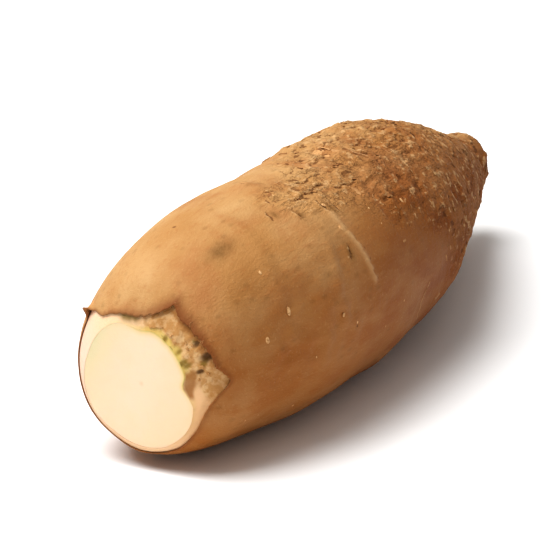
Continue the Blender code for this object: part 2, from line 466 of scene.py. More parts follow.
def growBark():
    piece, along, angle, radius = turnedPiece("barkSkin", barkCorners(), bark["sides"])
    angle = angle - bark["crowding"] * np.sin(angle)
    depth = root["belly"] - radius
    outer = depth < 0.5 * bark["thickness"]
    thinning = bark["lipShare"] + (1 - bark["lipShare"]) * ease(tear["line"], 0.0085, along)
    depth = depth * np.where(along < 0.2, thinning, 1)
    pull = np.clip(1 - (along - tear["line"]) / tear["reach"], 0, 1.02)
    moved = along + (tearEdge(angle) - tear["line"]) * pull
    neckStart = root["length"] - tear["neck"]
    fray = 0.0005 * ringNoise(angle, 30, 2)
    moved += (neckRagged(angle) + fray) * np.clip(1 - np.abs(along - neckStart) / tear["neckReach"], 0, 1)
    height = grownRelief(moved, angle) - edgeDent(moved, angle)
    fine, rough, dark, pale, weal = fineRelief(moved, angle)
    height += np.where(outer, fine, 0)
    toLip = np.clip(1 - (along - tear["line"]) / bark["curlReach"], 0, 1.1)
    middle, spread, top = bark["nib"]
    height += byAngle(bark["curl"], angle) * toLip**2 + top * hump(angle, middle, spread) * toLip**4
    points = layOut(moved, angle, height - depth)
    points[:, 2] = np.maximum(points[:, 2], np.maximum(depth, 0))
    movePoints(piece, points)
    # painted shade: one mask darkens the underside and the -Y side, the other adds more of it further from
    # the cut
    soil = paintedShadeAt(moved, angle)
    # the dark band along the cut edge: its own reddish brown and painted shadow under the curled lip
    lip = mound((along - tear["line"] + 0.0001) / byAngle(bark["edgeWidth"], angle))
    addMasks(
        piece, rough=rough, dark=dark * outer, pale=pale * outer, weal=weal * outer,
        inside=ease(0.25 * bark["thickness"], 0.7 * bark["thickness"], root["belly"] - radius),
        smudge=spotted(moved, angle, bark["smudges"]), ruddy=spotted(moved, angle, bark["ruddy"]),
        soiled=soil, umber=soil * ease(0.040, 0.120, moved), lip=lip * byAngle(bark["edgeTone"], angle),
    )
    return piece


barkSkin = growBark()
print("bark skin grown,", len(barkSkin.data.polygons), "faces")


def skinPoints(along, angle, lift=0.0):
    # places on the finished skin, or a little above it
    points = layOut(along, angle, grownRelief(along, angle) - edgeDent(along, angle) + lift)
    points[:, 2] = np.maximum(points[:, 2], 0)
    return points


def skinFrames(along, angle):
    # a frame at each place on the skin: lengthwise, sideways and outward
    place = skinPoints(along, angle)
    lengthwise = skinPoints(along + 0.0005, angle) - place
    sideways = skinPoints(along, angle + 0.02) - place
    lengthwise /= np.linalg.norm(lengthwise, axis=1)[:, None]
    outward = np.cross(sideways, lengthwise)
    outward /= np.linalg.norm(outward, axis=1)[:, None]
    sideways = np.cross(lengthwise, outward)
    rows = zip(place.tolist(), lengthwise.tolist(), sideways.tolist(), outward.tolist())
    return [
        Matrix.Translation(point) @ Matrix((ahead, side, out)).transposed().to_4x4()
        for point, ahead, side, out in rows
    ]


# The rind under the bark: knife-cut where the bark is whole, broken and pitted where it is torn
rind = {
    "sides": 330,
    "neckSides": 160,
    "collarLength": 0.030,
    # degrees round, depth of the flesh's rim under the skin
    "rim": (
        (-180, 0.0018), (-158, 0.0012), (-132, 0.0013), (-119, 0.0018), (-104, 0.0030),
        (-97, 0.0042), (-89, 0.0050), (-81, 0.0056), (-61, 0.0059), (-45, 0.0056), (-29, 0.0050),
        (-9, 0.0032), (7, 0.0020), (22, 0.0014), (45, 0.0012), (70, 0.0016), (100, 0.0014),
        (129, 0.0015), (150, 0.0021), (180, 0.0018),
    ),
    "underBark": 0.0005,
    "tornDepth": 0.0012,
    # a chip of rind that still lies over the tear: degrees from and to, share from and to, height
    "chip": (-37, -8, 0.34, 0.84, 0.0006),
    # degrees round, share of the way to the bark, radius, depth
    "pits": (
        (-65, 0.86, 0.0014, 0.0016), (-74, 0.48, 0.0009, 0.0009), (-52, 0.82, 0.0008, 0.0007),
    ),
    # olive spots: degrees round, share of the way, half width round, half length as a share
    "olive": (
        (15, 0.90, 0.0026, 0.75), (8, 0.95, 0.0020, 0.60), (-28, 0.06, 0.0010, 0.14),
        (-47, 0.14, 0.0008, 0.16), (-59, 0.10, 0.0012, 0.20), (-63, 0.20, 0.0010, 0.18),
        (-49, 0.84, 0.0009, 0.12), (-68, 0.70, 0.0010, 0.14),
    ),
}


def rindEdges(angle):
    # where the bared rind meets the bark, how deep it lies there, and how deep the flesh's rim lies
    end = rind["underBark"] + (rind["tornDepth"] - rind["underBark"]) * tearShare(angle)
    return tearEdge(angle) + 0.0002, end, byAngle(rind["rim"], angle)


def rindSlope(share, angle):
    # the bared rind, from the flesh's rim at 0 to under the bark at 1: along, depth and four masks
    degrees = np.degrees(angle)
    torn = tearShare(angle)
    edge, end, rim = rindEdges(angle)
    along = share * edge
    depth = rim + (end - rim) * share
    width = np.maximum(rim - end, 0.0002)
    length = np.hypot(edge, width)
    outwards, around = share * length, (root["belly"] * 0.52) * angle
    chunky = noiseAt(outwards / 0.0030, around / 0.0026, 0 * along + 1)
    stringy = noiseAt(outwards / 0.0026, around / 0.0008, 0 * along + 6)
    rise = torn * ease(0, 0.10, share) * (0.00034 * chunky + 0.00010 * stringy - 0.00020)
    start, stop, inner, outer, top = rind["chip"]
    ragged = 0.10 * chunky + 0.05 * stringy
    chip = within(start, stop, 2, degrees + 20 * ragged) * within(inner, outer, 0.03, share + ragged)
    rise += top * chip
    faceRadius = 0.55 * root["belly"]
    dark = np.zeros_like(along)
    for turn, place, radius, drop in rind["pits"]:
        across = faceRadius * np.radians(degrees - turn)
        pit = mound(np.hypot(across, (share - place) * length) / radius)
        rise -= drop * pit
        # the pits' dark is partly their own and partly painted shade, darker the deeper the pit
        dark = np.maximum(dark, min(1, 0.5 + drop / 0.0016) * ease(0.20, 0.75, pit + 0.15 * stringy))
    groove = torn * (1 - chip) * ease(0.20, 0.70, -chunky - 0.3 * stringy)
    streak = ease(-100, -95, degrees) * (1 - ease(-74, -66, degrees)) * ease(0.0, 0.05, share)
    streakEnd = np.interp(degrees, (-100, -84), (0.0004, 0.0018))
    streak *= 1 - ease(streakEnd, streakEnd + 0.0008, outwards + 0.0004 * chunky)
    rise -= 0.0003 * streak
    scraped = mound((degrees + 92) / 15) * ease(0.40, 0.75, share + 0.12 * chunky)
    # brown: the streak, chip edges and scraped place are the rind's own; the low places are painted shade,
    # and the band next to the bark is partly painted shadow under its edge
    brown = np.maximum.reduce([
        0.4 * groove, 0.25 * chip, (0.75 + 0.25 * ease(-80, -92, degrees)) * streak,
        torn * ease(0.76, 0.96, share + 0.08 * chunky), (0.52 + 0.15 * stringy) * scraped,
    ])
    fringe = torn * (1 - ease(0.08, 0.34, share + 0.10 * chunky)) * (1 - streak)
    olive = np.zeros_like(along)
    for turn, place, halfWidth, halfShare in rind["olive"]:
        across = faceRadius * np.radians(degrees - turn)
        spot = mound(np.hypot(across / halfWidth, (share - place) / halfShare))
        olive = np.maximum(olive, ease(0.10, 0.90, spot * (1 + 0.6 * chunky)))
    along = along - rise * width / length
    depth = depth - rise * edge / length
    return along, depth, dark, brown, fringe, olive


def growRind():
    # the blank is a plain collar: its flat front ring becomes the slope from rim to bark
    belly, back = root["belly"], rind["collarLength"]
    inner, outer, inside = belly - 0.0055, belly - 0.0010, belly - 0.0060
    corners = [
        (0.0, inner, 38), (0.0, outer, 0), (0.0010, belly, 12),
        (back, belly, 2), (back, inside, 12), (0.0010, inside, 0), (0.0, inner, 0),
    ]
    piece, along, angle, radius = turnedPiece("cutRind", corners, rind["sides"], 40)
    slope = along < 0.0002
    share = np.clip((radius - inner) / 0.0045, 0, 1)
    moved, depth, dark, brown, fringe, olive = rindSlope(share, angle)
    under = radius > belly - 0.0005
    edge, end, rim = rindEdges(angle)
    coverDepth = end + (np.maximum(end, 0.0011) - end) * ease(0.0, 0.006, along)
    moved = np.where(slope, moved, np.where(under, edge + along, np.maximum(along, 0.0016)))
    depth = np.where(slope, depth, np.where(under, coverDepth, rim + 0.0009))
    height = grownRelief(moved, angle) * ease(0, 0.004, moved) - edgeDent(np.maximum(moved, 0), angle)
    movePoints(piece, layOut(moved, angle, height - depth))
    bared = 0.7 * ease(0.0010, 0.0028, moved) * (angle < 0) * slope
    addMasks(
        piece, dark=dark * slope, brown=brown * slope, fringe=fringe * slope, olive=olive * slope,
        pink=hump(angle, 82, 34), orange=hump(angle, -118, 34), torn=np.maximum(tearShare(angle), bared),
    )
    return piece


cutRind = growRind()
print("rind collar grown,", len(cutRind.data.polygons), "faces")

# The flesh: one body under the rind, with a knife-cut face at each end
flesh = {
    "sides": 256,
    "faceDish": 0.00022,
    "neckShare": 0.80,
    "neckCut": 0.0097,
    "neckEdge": 0.2262,            # where the body turns in to the neck's cut
}


def neckRimDepth(along):
    # how deep under the skin the flesh of the neck's cut begins
    return girthAt(np.full_like(along, root["length"])) - flesh["neckShare"] * flesh["neckCut"]


def growFlesh():
    belly, end, neckEdge = root["belly"], root["length"], flesh["neckEdge"]
    corners = [
        (0.0, 0.0, 30), (0.0, belly - 0.0008, 2), (0.0, belly, 0), (0.0004, belly, 14),
        (0.028, belly, 44), (neckEdge, belly, 8), (end, belly, 0), (end, belly - 0.0010, 12),
        (end, 0.0, 0),
    ]
    piece, along, angle, radius = turnedPiece("cutFlesh", corners, flesh["sides"], 50)
    share = radius / belly
    rim = byAngle(rind["rim"], angle) + 0.00022 * tearShare(angle) * ringNoise(angle, 11, 9)
    neckRim = neckRimDepth(along)
    hidden = 0.0013 + (rim + 0.0001 - 0.0013) * (1 - ease(0.020, 0.027, along))
    depth = np.where(along > neckEdge, neckRim, hidden + (neckRim - hidden) * ease(0.212, 0.226, along))
    front = along < 0.0002
    depth = np.where(front, rim, depth)
    outward = girthAt(along) - depth - edgeDent(along, angle)
    knife = noiseAt(0 * along, share * np.sin(angle) * 3.1, share * np.cos(angle) * 3.1)
    dish = flesh["faceDish"] * (knife - 0.4)
    scored = 0.00003 * np.sin(1500 * girthAt(along) * share * np.cos(angle - 0.6))
    moved = np.where(front, np.maximum((dish + scored) * (1 - share**6), 0) + 0.00002, along)
    moved = moved + 0.00018 * (share > 0.999) * front      # the knife-cut edge is a little rounded
    faceward = front | (along > 0.2298)
    height = np.where(faceward, share * outward - girthAt(along), -depth - edgeDent(along, angle))
    height = height + grownRelief(along, angle) * 0.4 * ease(0.001, 0.02, along) * ~faceward
    points = layOut(moved, angle, height)
    points[:, 2] = np.maximum(points[:, 2], 0.0010)
    movePoints(piece, points)
    near = along < 0.1
    addMasks(
        piece, rim=np.where(faceward, share, 1.0), torn=tearShare(angle) * near,
        orange=hump(angle, -130, 60) * near, left=hump(angle, 62, 42) * near,
    )
    return piece


cutFlesh = growFlesh()
print("flesh grown,", len(cutFlesh.data.polygons), "faces")


def growNeckRind():
    # the short cone of rind between the torn neck skin and the cut flesh
    belly, start, edge, face = root["belly"], 0.222, 0.2264, 0.2299
    corners = [
        (start, belly, 3), (edge, belly, 14), (face, belly - 0.001, 0),
        (face, belly - 0.003, 3), (start, belly - 0.003, 0), (start, belly, 0),
    ]
    piece, along, angle, radius = turnedPiece("neckRind", corners, rind["neckSides"], 40)
    inner = radius < belly - 0.0015
    toward = ease(flesh["neckEdge"], face, along)
    end = neckRimDepth(along)
    depth = 0.00115 + (end - 0.0001 - 0.00115) * toward
    depth = np.where(inner, end + 0.0004, depth)
    across = girthAt(along) * angle
    chunky = noiseAt(along / 0.0012, across / 0.0009, 0 * along + 4)
    depth = depth + 0.00022 * chunky * mound((along - 0.2281) / 0.0012) * ~inner
    moved = along + neckRagged(angle) * 0.5 * (1 - ease(edge, face, along))
    movePoints(piece, layOut(moved, angle, grownRelief(moved, angle) * (1 - toward) - depth))
    torn = 0.7 * np.ones_like(along)
    # the dark in the lumpy rind's low places is painted shade
    addMasks(piece, dark=0.5 * ease(0.1, 0.7, chunky) * ~inner, brown=1 - toward, torn=torn)
    return piece


neckRind = growNeckRind()

# Thin plates: flakes that lift off the rough bark, and shreds along the torn lip
flakes = {
    "seed": 5,
    "count": 620,
    "length": (0.0012, 0.0036),
    "width": (0.0006, 0.0018),
    "thickness": 0.00012,
    "lift": (0.00015, 0.00060),
    "ragged": 0.22,
    "along": (0.044, 0.224),
    "angle": (-2.85, 2.85),
}
shreds = {
    "seed": 9,
    "count": 16,
    "degrees": (-76, -16),
    "length": (0.0008, 0.0020),
    "width": (0.0003, 0.0008),
    "lift": (-0.0004, 0.0005),
    "ragged": 0.3,
    "thickness": 0.00016,
}


def addPlate(shape, there, heading, halfLength, halfWidth, curl, ragged, rng, tone):
    # one small plate with an uneven outline that bends up towards its +X side
    place = there @ Matrix.Rotation(heading, 4, "Z")
    grown = bmesh.ops.create_grid(shape, x_segments=3, y_segments=6, size=1.0)["verts"]
    layer = shape.verts.layers.float["pale"]
    bow, wave = rng.uniform(-0.5, 0.5), rng.uniform(0, math.tau)
    for vert in grown:
        x, y = vert.co.x, vert.co.y
        x = x * (1 - 0.55 * y * y) + bow * (y * y - 0.4) + 0.3 * math.sin(2.6 * y + wave)
        x += ragged * rng.uniform(-1, 1) * abs(vert.co.x)
        rise = curl * ((vert.co.x + 1) / 2) ** 2 * (1 - 0.5 * y * y) - 0.00012
        vert.co = place @ Vector((x * halfWidth, (y + ragged * rng.uniform(-0.4, 0.4)) * halfLength, rise))
        vert[layer] = min(max(tone + 0.35 * vert.normal.x + rng.uniform(-0.15, 0.15), 0), 1)
    return grown


def growPlates(name, thickness, placed):
    shape = bmesh.new()
    shape.verts.layers.float.new("pale")
    for entry in placed:
        addPlate(shape, *entry)
    bmesh.ops.recalc_face_normals(shape, faces=shape.faces)
    bmesh.ops.solidify(shape, geom=shape.faces, thickness=thickness)
    bmesh.ops.recalc_face_normals(shape, faces=shape.faces)
    return finished(name, shape, 60)


def placedFlakes():
    rng = random.Random(flakes["seed"])
    spots = []
    while len(spots) < flakes["count"]:
        along, angle = rng.uniform(*flakes["along"]), rng.uniform(*flakes["angle"])
        if rng.random() < roughAt(along, angle)[0] ** 1.5:
            spots.append((along, angle))
    rows = np.array(spots).T
    placed = []
    # flakes that lie in the bark's painted shade are painted darker too
    for there, darker in zip(skinFrames(*rows), paintedShadeAt(*rows).tolist()):
        heading = rng.gauss(0, 0.45) + rng.choice((0, math.pi, math.pi / 2, -math.pi / 2))
        placed.append((
            there, heading, 0.5 * rng.uniform(*flakes["length"]), 0.5 * rng.uniform(*flakes["width"]),
            rng.uniform(*flakes["lift"]), flakes["ragged"], rng, rng.random() ** 1.4 * (1 - 0.6 * darker),
        ))
    return placed


def placedShreds():
    rng = random.Random(shreds["seed"])
    angles = np.radians([rng.uniform(*shreds["degrees"]) for _ in range(shreds["count"])])
    return [
        (
            there, math.pi / 2 + rng.gauss(0, 0.5), 0.5 * rng.uniform(*shreds["length"]),
            0.5 * rng.uniform(*shreds["width"]), rng.uniform(*shreds["lift"]), shreds["ragged"], rng,
            rng.uniform(0.0, 0.5),
        )
        for there in skinFrames(tearEdge(angles) + 0.0003, angles)
    ]


barkFlakes = growPlates("barkFlakes", flakes["thickness"], placedFlakes())
tornShreds = growPlates("tornShreds", shreds["thickness"], placedShreds())
print("flakes and shreds:", len(barkFlakes.data.polygons), "and", len(tornShreds.data.polygons), "faces")

# Small lenticels: pale raised dots on the smooth bark
lenticels = {
    "seed": 31,
    "count": 40,
    "radius": (0.00020, 0.00036),
    "rise": 0.30,
    "along": (0.012, 0.220),
    "angle": (-2.8, 2.8),
    # the plain ones: along, degrees round, radius
    "seen": (
        (0.0272, -68, 0.0008), (0.0176, -76, 0.0008), (0.0240, -44, 0.0005), (0.0480, -83, 0.0006),
        (0.1008, -49, 0.0006), (0.0624, -46, 0.0009), (0.0640, -32, 0.0007),
    ),
}


def growLenticels():
    rng = random.Random(lenticels["seed"])
    spots = [(along, math.radians(degrees), radius) for along, degrees, radius in lenticels["seen"]]
    while len(spots) < lenticels["count"]:
        spots.append(tuple(rng.uniform(*lenticels[name]) for name in ("along", "angle", "radius")))
    along, angle, sizes = np.array(spots).T
    shape = bmesh.new()
    for there, size in zip(skinFrames(along, angle), sizes.tolist()):
        fit = Matrix.Diagonal((size, size * rng.uniform(1.0, 1.7), size * lenticels["rise"], 1))
        spin = Matrix.Rotation(rng.gauss(0, 0.3), 4, "Z")
        bmesh.ops.create_icosphere(shape, subdivisions=2, radius=1.0, matrix=there @ spin @ fit)
    for vert in shape.verts:
        vert.co += vert.normal * 0.00014 * noise.noise(vert.co * 1600)
    return finished("lenticels", shape)


lenticelDots = growLenticels()

# Root hairs: fine threads that wander over the skin and lift at their tips
hairs = {
    "seed": 17,
    "count": 16,
    "radius": 0.00010,
    "step": 0.0009,
    "steps": (6, 15),
    "along": (0.100, 0.215),
    "angle": (-1.9, 1.6),
}


def growHairs():
    rng = random.Random(hairs["seed"])
    curve = bpy.data.curves.new("rootHairs", "CURVE")
    curve.dimensions = "3D"
    curve.bevel_depth = hairs["radius"]
    curve.bevel_resolution = 1
    curve.use_fill_caps = True
    for index in range(hairs["count"]):
        if index < len(scars) and scars[index][0] > 0.085:
            along, angle = scars[index][:2]
        else:
            along, angle = rng.uniform(*hairs["along"]), rng.uniform(*hairs["angle"])
        heading = rng.uniform(-math.pi, math.pi)
        count = rng.randint(*hairs["steps"])
        path, lifts = [], []
        for step in range(count):
            path.append((along, angle))
            lifts.append(0.00005 + 0.0011 * (step / count) ** 2 * rng.uniform(0.3, 1.0))
            heading += rng.gauss(0, 0.32)
            along = min(max(along + hairs["step"] * math.cos(heading), 0.012), 0.222)
            angle += hairs["step"] * math.sin(heading) / max(float(girthAt(np.array([along]))[0]), 0.008)
        path = np.array(path)
        points = skinPoints(path[:, 0], path[:, 1], np.array(lifts))
        spline = curve.splines.new("POLY")
        spline.points.add(count - 1)
        for step, (point, place) in enumerate(zip(spline.points, points.tolist())):
            point.co = (*place, 1)
            point.radius = 1.15 - 0.85 * step / count
    piece = bpy.data.objects.new("rootHairs", curve)
    bpy.context.scene.collection.objects.link(piece)
    return piece


rootHairs = growHairs()

# Crumbs of broken rind left in the tear
crumbs = {
    "seed": 41,
    "count": 12,
    "radius": (0.00022, 0.00050),
    "degrees": (-88, -4, -60),     # from, to, and where most lie
    "share": (0.35, 0.70),         # of the way from the flesh to the bark
}


def growCrumbs():
    rng = random.Random(crumbs["seed"])
    shape = bmesh.new()
    for _ in range(crumbs["count"]):
        angle = np.radians([rng.triangular(*crumbs["degrees"])])
        along, depth = rindSlope(np.array([rng.uniform(*crumbs["share"])]), angle)[:2]
        place = Vector(layOut(along, angle, -depth - edgeDent(along, angle))[0].tolist())
        size = rng.uniform(*crumbs["radius"])
        fit = Matrix.Diagonal((size * rng.uniform(0.5, 1.0), size * rng.uniform(0.8, 2.2), size, 1))
        turned = Matrix.Rotation(-float(angle[0]), 4, "X") @ Matrix.Rotation(rng.uniform(-0.6, 0.6), 4, "Z")
        there = Matrix.Translation(place) @ turned @ fit
        for vert in bmesh.ops.create_icosphere(shape, subdivisions=2, radius=1.0, matrix=there)["verts"]:
            vert.co += (vert.co - place) * 0.55 * noise.noise(vert.co * 2600)
    piece = finished("rindCrumbs", shape)
    even = np.ones(len(piece.data.vertices))
    addMasks(piece, brown=0.35 * even, torn=even)
    return piece


rindCrumbs = growCrumbs()
print("lenticels, hairs and crumbs placed")


# Materials. Shared helpers first: they add a node, calculate, mix, and place the shared groups.
def addNode(tree, kind, inputs=None, **settings):
    made = tree.nodes.new(kind)
    for name, value in settings.items():
        setattr(made, name, value)
    for name, value in (inputs or {}).items():
        if isinstance(value, bpy.types.NodeSocket):
            tree.links.new(value, made.inputs[name])
        else:
            made.inputs[name].default_value = value
    return made


def ranged(tree, value, low, high, toLow=0.0, toHigh=1.0):
    inputs = {"Value": value, "From Min": low, "From Max": high, "To Min": toLow, "To Max": toHigh}
    return addNode(tree, "ShaderNodeMapRange", inputs, interpolation_type="SMOOTHSTEP").outputs[0]


def calculated(tree, operation, value, *others):
    for other in others:
        value = addNode(tree, "ShaderNodeMath", {0: value, 1: other}, operation=operation).outputs[0]
    return value


def times(tree, *values):
    return calculated(tree, "MULTIPLY", *values)


def plus(tree, *values):
    return calculated(tree, "ADD", *values)


def greatest(tree, *values):
    return calculated(tree, "MAXIMUM", *values)


def vectorMath(tree, operation, *values):
    inputs = dict(enumerate(values))
    return addNode(tree, "ShaderNodeVectorMath", inputs, operation=operation).outputs[0]


def mixed(tree, factor, first, second):
    inputs = {0: factor, 6: first, 7: second}
    return addNode(tree, "ShaderNodeMix", inputs, data_type="RGBA").outputs[2]


def layered(tree, colour, look, *layers):
    # lays colours of one look over each other, each by a mask, its share and the colour's name
    for mask, share, name in layers:
        colour = mixed(tree, times(tree, mask, share) if share < 1 else mask, colour, look[name])
    return colour


def masks(tree, *names):
    return [addNode(tree, "ShaderNodeAttribute", attribute_name=name).outputs["Fac"] for name in names]


def objectPlace(tree):
    return addNode(tree, "ShaderNodeTexCoord").outputs["Object"]


def srgb(red, green, blue):
    def linear(value):
        value /= 255
        return value / 12.92 if value <= 0.04045 else ((value + 0.055) / 1.055) ** 2.4
    return (linear(red), linear(green), linear(blue), 1.0)


def newGroup(name, output, **inputs):
    group = bpy.data.node_groups.new(name, "ShaderNodeTree")
    for label, value in inputs.items():
        socket = group.interface.new_socket(label, in_out="INPUT", socket_type="NodeSocketFloat")
        socket.default_value = value
    group.interface.new_socket(output, in_out="OUTPUT", socket_type="NodeSocketFloat")
    given = group.nodes.new("NodeGroupInput").outputs
    result = group.nodes.new("NodeGroupOutput").inputs[output]
    return group, given, result


def drawnOutPlace(group, given, shift=0.0):
    # places measured in spots of the given size, drawn out along the root
    across = calculated(group, "DIVIDE", 1.0, given["Size"])
    lengthwise = calculated(group, "DIVIDE", across, given["Stretch"])
    sizes = addNode(group, "ShaderNodeCombineXYZ", {0: lengthwise, 1: across, 2: across}).outputs[0]
    shifts = addNode(group, "ShaderNodeCombineXYZ", {0: shift, 1: shift, 2: 0.0}).outputs[0]
    inputs = {"Vector": objectPlace(group), "Scale": sizes, "Location": shifts}
    return addNode(group, "ShaderNodeMapping", inputs).outputs[0]


def drawnOutNoise():
    # noise stretched along the root, for mottling, fibres and grain
    group, given, result = newGroup("drawnOutNoise", "Value", Size=0.01, Stretch=1.0, Detail=4.0, Shift=0.0)
    place = drawnOutPlace(group, given, given["Shift"])
    inputs = {"Vector": place, "Scale": 1.0, "Detail": given["Detail"], "Roughness": 0.55}
    group.links.new(addNode(group, "ShaderNodeTexNoise", inputs).outputs["Fac"], result)
    return group


def speckles():
    # scattered small spots, 1 in the middle of each spot
    group, given, result = newGroup("speckles", "Mask", Size=0.001, Share=0.3, Stretch=1.0)
    inputs = {"Vector": drawnOutPlace(group, given), "Scale": 1.0}
    cells = addNode(group, "ShaderNodeTexVoronoi", inputs).outputs
    spot = ranged(group, cells["Distance"], 0.42, 0.10)
    chosen = addNode(group, "ShaderNodeSeparateColor", {"Color": cells["Color"]}).outputs[0]
    kept = calculated(group, "LESS_THAN", chosen, given["Share"])
    group.links.new(times(group, spot, kept), result)
    return group


drawnOut = drawnOutNoise()
speckled = speckles()


def placedGroup(tree, group, **inputs):
    return addNode(tree, "ShaderNodeGroup", inputs, node_tree=group).outputs[0]


def noiseValue(tree, size, stretch=1.0, detail=4.0, shift=0.0):
    return placedGroup(tree, drawnOut, Size=size, Stretch=stretch, Detail=detail, Shift=shift)


def fissures(tree, size, stretch, width, shift=0.0):
    # thin wandering lines: where one noise crosses its middle value and another is high
    off = calculated(tree, "SUBTRACT", noiseValue(tree, size, stretch, 3.0, shift), 0.5)
    line = ranged(tree, calculated(tree, "ABSOLUTE", off, 0.0), width, width * 0.25)
    return times(tree, line, ranged(tree, noiseValue(tree, size * 2.2, 1.6, 2.0, shift + 4), 0.48, 0.58))


def scalePlates(tree, size, shift):
    # flat plates with crisp edges, for scaly bark
    return ranged(tree, noiseValue(tree, size, 2.0, 3.0, shift), 0.44, 0.54)


def newMaterial(name, values):
    made = bpy.data.materials.new(name)
    made.use_nodes = True
    shader = made.node_tree.nodes["Principled BSDF"]
    for label, value in values.items():
        shader.inputs[label].default_value = value
    return made, made.node_tree


def coated(made, colour, roughness, height, distance, strength):
    # joins the colour, the roughness and a bump to the material's shader
    tree = made.node_tree
    inputs = {"Height": height, "Distance": distance, "Strength": strength}
    bump = addNode(tree, "ShaderNodeBump", inputs).outputs[0]
    for label, value in (("Base Color", colour), ("Roughness", roughness), ("Normal", bump)):
        tree.links.new(value, tree.nodes["Principled BSDF"].inputs[label])
    return made


barkLook = {
    "tan": srgb(192, 152, 103),
    "brown": srgb(170, 121, 67),
    "red": srgb(154, 88, 40),
    # painted shade colours: the first for the shaded side, the second for the rear
    "deep": srgb(148, 82, 12),
    "umber": srgb(112, 54, 16),
    # pale for the weal and specks, also used as painted highlight on raised places
    "paleEdge": srgb(206, 166, 118),
    "crackAndShade": srgb(92, 50, 14),
    # dark of the cracks, also used as painted shade in hollows
    "inside": srgb(206, 156, 104),
    "smudge": srgb(112, 78, 34),
    # reddish brown of the cut edge, also used as painted shadow under the curled lip
    "lip": srgb(118, 62, 22),
    "roughness": (0.66, 0.86),
}


def barkMaterial():
    made, tree = newMaterial("barkBrown", {"Specular IOR Level": 0.22})
    look = barkLook
    rough, dark, pale, ruddy, soiled, umber, smudge, weal, inside, lip = masks(
        tree, "rough", "dark", "pale", "ruddy", "soiled", "umber", "smudge", "weal", "inside", "lip"
    )
    broad = ranged(tree, noiseValue(tree, 0.026, 2.2, 3.0), 0.36, 0.66, 0.15, 0.85)
    patchy = ranged(tree, noiseValue(tree, 0.008, 2.4, 5.0, 3.0), 0.40, 0.68)
    blush = ranged(tree, noiseValue(tree, 0.014, 1.0, 4.0, 7.0), 0.46, 0.68)
    spread = ranged(tree, noiseValue(tree, 0.0022, 1.0, 3.0), 0.30, 0.70, 0.6, 1.0)
    ragged = ranged(tree, noiseValue(tree, 0.0012, 1.0, 3.0, 2.0), 0.35, 0.65, -0.21, 0.21)
    fibres = noiseValue(tree, 0.0011, 7.0, 4.0, 5.0)
    fine = noiseValue(tree, 0.0007, 1.3, 5.0, 9.0)
    sharpPale = ranged(tree, plus(tree, pale, ragged), 0.25, 0.60)
    sharpDark = ranged(tree, plus(tree, dark, ragged), 0.30, 0.62)
    freckles = placedGroup(tree, speckled, Size=0.0026, Share=0.25, Stretch=1.8)
    cracks = greatest(tree, fissures(tree, 0.0024, 5.0, 0.020), fissures(tree, 0.0044, 0.30, 0.022, 8.0))
    cracked = times(tree, cracks, rough)
    plates = plus(tree, scalePlates(tree, 0.0030, 11.0), scalePlates(tree, 0.0015, 15.0))
    # gaps: painted shade in the hollows between the bump's plates
    gaps = times(tree, ranged(tree, plates, 1.0, 0.0), rough, 0.22)
    darkest = times(tree, greatest(tree, sharpDark, times(tree, cracked, 0.7)), 0.72)
    colour = layered(
        tree, mixed(tree, broad, look["tan"], look["brown"]), look,
        (patchy, 0.40, "brown"),
        (plus(tree, times(tree, blush, 0.30), times(tree, ruddy, 0.45)), 1, "red"),
        # painted shade on the shaded side and towards the rear
        (times(tree, soiled, ranged(tree, patchy, 0.0, 1.0, 0.65, 0.85)), 1, "deep"),
        (times(tree, umber, ranged(tree, patchy, 0.0, 1.0, 0.50, 0.70)), 1, "umber"),
        (ranged(tree, fibres, 0.52, 0.72), 0.22, "red"),
        (ranged(tree, fine, 0.54, 0.75), 0.20, "paleEdge"),
        (times(tree, smudge, spread), 0.88, "smudge"),
        (freckles, 0.25, "smudge"),
        (weal, 0.55, "paleEdge"),
        # painted highlight on the relief's raised places and tick lips
        (sharpPale, 0.60, "paleEdge"),
        (greatest(tree, gaps, darkest), 1, "crackAndShade"),
        (inside, 1, "inside"),
        (lip, 1, "lip"),
    )
    roughness = ranged(tree, plus(tree, rough, fine), 0.4, 1.3, *look["roughness"])
    height = plus(
        tree, fine, times(tree, fibres, 0.8), times(tree, cracked, -1.4), times(tree, plates, rough, 0.9)
    )
    return coated(made, colour, roughness, height, 0.00035, 0.60)


flakeLook = {"dull": srgb(136, 84, 40), "bright": srgb(192, 146, 96)}


def flakeMaterial():
    made, tree = newMaterial("liftedBark", {"Specular IOR Level": 0.3})
    fine = noiseValue(tree, 0.0008, 2.0, 4.0)
    tone = plus(tree, *masks(tree, "pale"), calculated(tree, "SUBTRACT", fine, 0.5))
    colour = mixed(tree, tone, flakeLook["dull"], flakeLook["bright"])
    return coated(made, colour, ranged(tree, fine, 0.3, 0.7, 0.65, 0.85), fine, 0.0002, 0.5)


dotLook = {"body": srgb(222, 178, 124), "shade": srgb(180, 128, 76)}


def dotMaterial():
    made, tree = newMaterial("lenticelCork", {})
    grain = noiseValue(tree, 0.0006, 1.0, 3.0)
    colour = mixed(tree, ranged(tree, grain, 0.35, 0.65), dotLook["body"], dotLook["shade"])
    return coated(made, colour, ranged(tree, grain, 0.3, 0.7, 0.7, 0.9), grain, 0.0001, 0.5)


rindLook = {
    "ring": srgb(228, 190, 150),
    "pink": srgb(230, 192, 168),
    "orange": srgb(220, 174, 126),
    "tan": srgb(190, 143, 88),
    "cream": srgb(212, 173, 124),
    "lime": srgb(214, 188, 104),
    "olive": srgb(118, 92, 22),
    "brown": srgb(150, 96, 40),
    # dark for the pits, partly painted shade
    "pit": srgb(84, 50, 6),
    "plain": {
        "Specular IOR Level": 0.25,
        "Subsurface Weight": 0.05,
        "Subsurface Radius": (0.002, 0.001, 0.0005),
        "Subsurface Scale": 1.0,
    },
}


